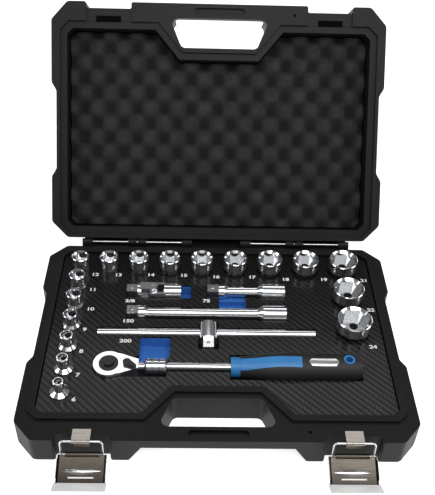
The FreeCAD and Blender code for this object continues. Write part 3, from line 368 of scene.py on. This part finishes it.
finishes = {
    "case_plastic": grained("casePlastic", grey(0.0055), grey(0.009), (0.42, 0.58), 1600.0, 0.06 * mm,
                            Specular_IOR_Level=0.22),
    "lid_foam": crateFoam(),
    "tray_foam": pocketFoam(),
    "tray_sheet": twillFilm(),
    "pin_steel": grained("pinSteel", grey(0.42), grey(0.55), (0.2, 0.35), 900.0, 0.02 * mm, (0.05, 1, 1),
                         Metallic=1.0),
    "latch_steel": grained("latchSteel", (0.3, 0.27, 0.24), (0.42, 0.39, 0.36), (0.2, 0.34), 900.0, 0.03 * mm,
                           (0.04, 1, 1), Metallic=1.0),
    "lever_steel": leverSteel(),
    "latch_wire": grained("latchWire", grey(0.62), grey(0.72), (0.12, 0.22), 700.0, 0.02 * mm, Metallic=1.0),
    "chrome": grained("chrome", (0.72, 0.73, 0.75), (0.8, 0.81, 0.83), (0.08, 0.13), 60.0, 0.002 * mm,
                      Metallic=0.96),
    "ball_steel": grained("ballSteel", grey(0.5), grey(0.6), (0.1, 0.18), 500.0, 0.01 * mm, Metallic=1.0),
    "black_metal": grained("blackMetal", grey(0.012), grey(0.02), (0.3, 0.45), 1200.0, 0.02 * mm,
                           Metallic=0.2),
    "grip_blue": grained("gripBlue", (0.02, 0.17, 0.44), (0.03, 0.21, 0.5), (0.35, 0.5), 1400.0, 0.03 * mm),
    "grip_black": grained("gripBlack", grey(0.006), grey(0.011), (0.5, 0.68), 1500.0, 0.06 * mm),
    "plate_metal": grained("plateMetal", grey(0.6), grey(0.7), (0.2, 0.35), 900.0, 0.02 * mm, (0.05, 1, 1),
                           Metallic=1.0),
}


def dressNodes():
    for name, node in nodes.items():
        node.data.materials.clear()
        isLever = name.startswith("latch_lever")
        node.data.materials.append(finishes["lever_steel" if isLever else slots[name]])


dressNodes()
print("finishes on the CAD nodes")


# mesh makers
def putPiece(name, points, faces, finish, body, smooth=True):
    mesh = bpy.data.meshes.new(name)
    mesh.from_pydata(points, [], faces)
    mesh.polygons.foreach_set("use_smooth", np.full(len(mesh.polygons), smooth))
    mesh.materials.append(finish)
    mesh.update()
    piece = bpy.data.objects.new(name, mesh)
    bpy.context.scene.collection.objects.link(piece)
    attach(piece, body)
    return piece


weldGap = 0.0001  # mm


def weld(piece):
    # closes a seam or a pole where points of the grid meet
    work = bmesh.new()
    work.from_mesh(piece.data)
    bmesh.ops.remove_doubles(work, verts=work.verts, dist=weldGap * mm)
    work.to_mesh(piece.data)
    work.free()


def gridFaces(rows, columns):
    # quads between neighbouring rows and columns of a grid of points
    index = np.arange(rows * columns).reshape(rows, columns)
    return np.stack([index[:-1, :-1], index[1:, :-1], index[1:, 1:], index[:-1, 1:]], -1).reshape(-1, 4)


def openedLid(points):
    # a point of the shut lid, swung back about the hinge pins
    hinge = joints["lid_hinge"]
    angle = math.radians(hinge["range_deg"][0])
    y = points[..., 1] - hinge["pos_m"][1]
    z = points[..., 2] - hinge["pos_m"][2]
    turned = np.array(points, float)
    turned[..., 1] = hinge["pos_m"][1] + y * math.cos(angle) - z * math.sin(angle)
    turned[..., 2] = hinge["pos_m"][2] + y * math.sin(angle) + z * math.cos(angle)
    return turned


# egg-crate foam in the lid
crate = {"half": 151.8, "front": -91.3, "back": 105.8, "corner": 6.0, "notchHalf": 40.5, "notchRise": 29.0,
         "notchRun": 24.3, "peak": 45.4, "valley": 53.5, "roof": 61.2, "pitchX": 27.6, "pitchY": 15.2,
         "columns": 221, "rows": 145, "skirt": 0.4}


def eggCrate():
    # height is the sine of a product of two cosines, so peaks are staggered from row to row;
    # each column of the grid runs from the stepped front edge to the back edge
    c = crate
    x = np.linspace(-c["half"], c["half"], c["columns"])[:, None]
    bevel = np.clip(np.abs(x) - (c["half"] - c["corner"]), 0, None)
    step = np.clip((c["notchHalf"] + c["notchRun"] - np.abs(x)) / c["notchRun"], 0, 1) * c["notchRise"]
    low = c["front"] + step + bevel
    high = c["back"] - bevel
    share = np.linspace(0, 1, c["rows"])[None, :]
    y = low + share * (high - low)
    wave = np.cos(2 * math.pi * x / c["pitchX"]) * np.cos(math.pi * y / c["pitchY"])
    swell = 0.5 + 0.5 * np.sin(0.5 * math.pi * wave)
    z = c["valley"] + (c["peak"] - c["valley"]) * swell
    z[[0, -1], :] = c["roof"]
    z[:, [0, -1]] = c["roof"]
    # the outermost points drop straight to the roof of the lid
    x, y = np.broadcast_to(x, z.shape).copy(), y.copy()
    x[1], x[-2] = x[0] + c["skirt"], x[-1] - c["skirt"]
    y[:, 1], y[:, -2] = y[:, 0] + c["skirt"], y[:, -1] - c["skirt"]
    points = openedLid(np.stack([x, y, z], -1) * mm)
    faces = gridFaces(*z.shape)
    index = np.arange(z.size).reshape(z.shape)
    rim = np.concatenate([index[:, 0], index[-1, 1:], index[-2::-1, -1], index[0, -2:0:-1]])
    piece = putPiece("lidEggCrate", points.reshape(-1, 3), [*faces[:, ::-1].tolist(), rim.tolist()],
                     finishes["lid_foam"], "lid")
    piece.data.attributes.new("swell", "FLOAT", "POINT").data.foreach_set("value", swell.ravel())
    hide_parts("lid_foam")


eggCrate()
print("egg-crate foam in the lid")


# painted shade for the catch slots: near-black boxes on the rim of the lid
catch = {"middle": 111.4, "half": 12.4, "near": -104.6, "far": -98.6, "level": 30.9, "proud": 0.12, "sunk": 0.4}


def catchSlotShades():
    # a thin closed box, its corners from low and high along each axis
    # painted shade: a near-black matte finish where the shadowed slot would be
    shade = grained("slotShade", grey(0.001), grey(0.002), (0.8, 0.95), 900.0, 0.02 * mm,
                    Specular_IOR_Level=0.05)
    for name, side in (("left", -1), ("right", 1)):
        x = side * catch["middle"] + np.array([-1, 1]) * catch["half"]
        y = np.array([catch["near"], catch["far"]])
        z = catch["level"] + np.array([-catch["proud"], catch["sunk"]])
        points = np.stack(np.meshgrid(x, y, z, indexing="ij"), -1).reshape(-1, 3)
        faces = [(0, 1, 3, 2), (4, 6, 7, 5), (0, 4, 5, 1), (2, 3, 7, 6), (0, 2, 6, 4), (1, 5, 7, 3)]
        putPiece("catchSlotShade_" + name, openedLid(points * mm), faces, shade, "lid", False)


catchSlotShades()
print("catch slots in the lid")


# lip along the back edge of the ledge, so that nothing shows between the open lid and the base
lip = {"half": 136.4, "near": 129.8, "far": 134.1, "low": 23.34, "top": 26.26, "round": 0.7, "steps": 32}


def ledgeLip():
    # a rounded rectangle carried along X, closed at both ends
    turn = 2 * math.pi * (np.arange(lip["steps"]) + 0.5) / lip["steps"]
    wide = (lip["far"] - lip["near"]) / 2 - lip["round"]
    tall = (lip["top"] - lip["low"]) / 2 - lip["round"]
    y = (lip["near"] + lip["far"]) / 2 + wide * np.sign(np.cos(turn)) + lip["round"] * np.cos(turn)
    z = (lip["low"] + lip["top"]) / 2 + tall * np.sign(np.sin(turn)) + lip["round"] * np.sin(turn)
    points = np.concatenate([np.stack([np.full_like(y, end * lip["half"]), y, z], -1) for end in (-1, 1)])
    ring = np.arange(lip["steps"])
    after = np.roll(ring, -1)
    walls = np.stack([ring, after, after + len(ring), ring + len(ring)], -1)
    faces = [*walls.tolist(), ring[::-1].tolist(), (ring + len(ring)).tolist()]
    putPiece("ledgeLip", points * mm, faces, finishes["case_plastic"], "base", False)


ledgeLip()
print("lip of the hinge ledge")


# white size numbers printed on the tray film
printing = {
    "tall": 3.9, "capShare": 0.7, "widen": 1.3, "thick": 0.02, "flat": 0.0015, "bold": 0.034,
    "numbers": {
        "12": (-119.5, 75.4), "13": (-96.8, 75.3), "14": (-64.9, 76.0), "15": (-32.3, 75.9), "16": (-0.4, 74.4),
        "17": (35.3, 74.6), "18": (68.4, 72.1), "19": (106.5, 72.6), "21": (146.6, 72.0), "22": (147.0, 31.4),
        "24": (141.8, -15.1), "11": (-119.7, 54.3), "10": (-119.2, 28.3), "9": (-121.5, 2.2), "8": (-121.6, -24.0),
        "7": (-121.5, -51.0), "6": (-121.6, -77.3)},
    "tools": {"3/8": (-82.8, 39.6), "75": (-9.8, 40.9), "150": (-82.7, 13.5), "200": (-83.2, -11.2)},
}


def printNumbers():
    ink = grained("whiteInk", grey(0.7), grey(0.85), (0.5, 0.6), 2500.0, 0.01 * mm)
    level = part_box("tray_sheet")[1].z
    size = printing["tall"] * mm / printing["capShare"]
    stretch = Matrix.Diagonal((size * printing["widen"], size, printing["flat"], 1))
    for text, (x, y) in {**printing["numbers"], **printing["tools"]}.items():
        curve = bpy.data.curves.new("type", "FONT")
        curve.body = text
        curve.align_x, curve.align_y = "CENTER", "CENTER"
        curve.offset = printing["bold"]
        curve.extrude = printing["thick"]
        curve.resolution_u = 4
        holder = bpy.data.objects.new("type", curve)
        bpy.context.scene.collection.objects.link(holder)
        bpy.context.view_layer.update()
        graph = bpy.context.evaluated_depsgraph_get()
        mesh = bpy.data.meshes.new_from_object(holder.evaluated_get(graph))
        bpy.data.objects.remove(holder)
        mesh.transform(Matrix.Translation((x * mm, y * mm, level)) @ stretch)
        mesh.materials.clear()
        mesh.materials.append(ink)
        piece = bpy.data.objects.new("sizePrint_" + text.replace("/", "-"), mesh)
        bpy.context.scene.collection.objects.link(piece)
        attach(piece, "base")


printNumbers()
print("size numbers on the tray")


# pressed details on the latch levers
def leverPlace(name, points):
    # from the lever lying flat, rolled edge on X, to its slope on the wire
    joint = joints["latch_lever_%s_close" % name]
    angle = math.radians(lever["slope"])
    x, y, z = points[..., 0], points[..., 1], points[..., 2]
    back = y * math.cos(angle) - z * math.sin(angle)
    up = y * math.sin(angle) + z * math.cos(angle)
    return np.stack([x, back, up], -1) * mm + np.array(joint["pos_m"])


def leverLens(name):
    # raised crescent: width shrinks as 1 - u squared along it, height as (1 - u^2)(1 - v^2)
    rows, columns = lever["lensGrid"]
    u = np.linspace(-1, 1, rows)[:, None]
    v = np.linspace(-1, 1, columns)[None, :]
    fullness = 1 - u ** 2
    x = np.broadcast_to(lever["lensHalf"] * u, (rows, columns))
    y = lever["lensAt"] + lever["lensWidth"] * v * fullness
    z = lever["low"] + lever["thick"] - lever["lensSunk"] + lever["lensHigh"] * fullness * (1 - v ** 2)
    points = leverPlace(name, np.stack([x, y, z], -1))
    # the raised crescent is real, and its bright wire metal on the dark plate is a painted highlight
    weld(putPiece("leverCrescent_" + name, points.reshape(-1, 3), gridFaces(rows, columns).tolist(),
                  finishes["latch_wire"], "latch_lever_" + name))


def leverStuds(name):
    # half balls pressed out of the side flanges: a quarter circle carried round X
    turn = np.linspace(0, 2 * math.pi, lever["studGrid"][0])[:, None]
    tilt = np.linspace(0, math.pi / 2, lever["studGrid"][1])[None, :]
    r = lever["studRadius"]
    faces = gridFaces(*lever["studGrid"])
    for end, side in (("left", -1), ("right", 1)):
        x = side * (lever["half"] - lever["studSunk"] + lever["studFlat"] * r * np.sin(tilt)) + 0 * turn
        y = lever["studAt"] + r * np.cos(tilt) * np.cos(turn)
        z = lever["low"] + lever["studHigh"] + r * np.cos(tilt) * np.sin(turn)
        points = leverPlace(name, np.stack([x, y, z], -1))
        weld(putPiece("leverStud_%s_%s" % (name, end), points.reshape(-1, 3), faces[:, ::side].tolist(),
                      finishes["latch_wire"], "latch_lever_" + name))


for name in ("left", "right"):
    leverLens(name)
    leverStuds(name)
print("lever details")
